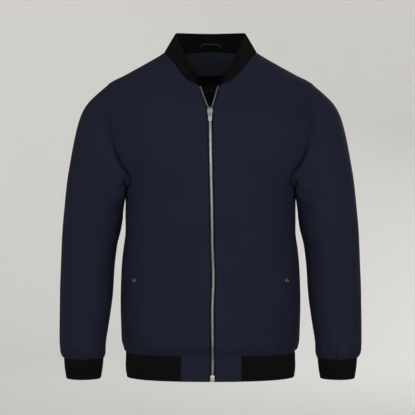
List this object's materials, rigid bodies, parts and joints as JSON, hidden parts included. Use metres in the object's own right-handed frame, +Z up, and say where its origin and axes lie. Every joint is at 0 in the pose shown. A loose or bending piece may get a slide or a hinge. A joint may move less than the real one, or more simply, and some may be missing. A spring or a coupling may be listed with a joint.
{
  "type": "bomber jacket",
  "caption": "Bomber jacket with a full-length front zip, side welt pockets, and ribbed collar, cuffs and hem, filled out as if worn.",
  "frame": {"origin": "middle of the neck opening, level with the neck's side points, where the wearer's neck and shoulders hold the jacket", "axes": "+Z up along the body, -Y out of the front, +X towards the wearer's left"},
  "size_m": [0.628, 0.2405, 0.7263],
  "materials": {
    "shell": "matte tightly woven navy cloth",
    "rib_knit": "black rib knit",
    "lining": "smooth black lining",
    "label_cloth": "black satin, blank",
    "zip_tape": "black woven tape",
    "zip_metal": "silver metal",
    "stud_metal": "dark enamelled metal"
  },
  "bodies": {
    "jacket": {"front_left": "shell", "front_right": "shell", "back": "shell", "sleeve_left": "shell", "sleeve_right": "shell", "collar": "rib_knit", "cuff_left": "rib_knit", "cuff_right": "rib_knit", "hem_rib": "rib_knit", "hem_tab_left": "shell", "hem_tab_right": "shell", "back_neck_facing": "shell", "lining_back": "lining", "label": "label_cloth", "hanger_loop": "shell", "pocket_welt_left": "shell", "pocket_stud_left": "stud_metal", "pocket_welt_right": "shell", "pocket_stud_right": "stud_metal", "zip_tape_left": "zip_tape", "zip_teeth_left": "zip_metal", "zip_tape_right": "zip_tape", "zip_teeth_right": "zip_metal", "zip_chain": "zip_metal", "zip_slider": "zip_metal", "zip_box": "zip_metal"},
    "pull": {"zip_pull": "zip_metal"}
  },
  "joints": [
    {"name": "pull_hinge", "type": "hinge", "parent": "jacket", "child": "pull", "pos_m": [-0.00111, -0.10706, -0.12827], "axis": [-1, 0, 0], "range_deg": [0, 150]}
  ]
}
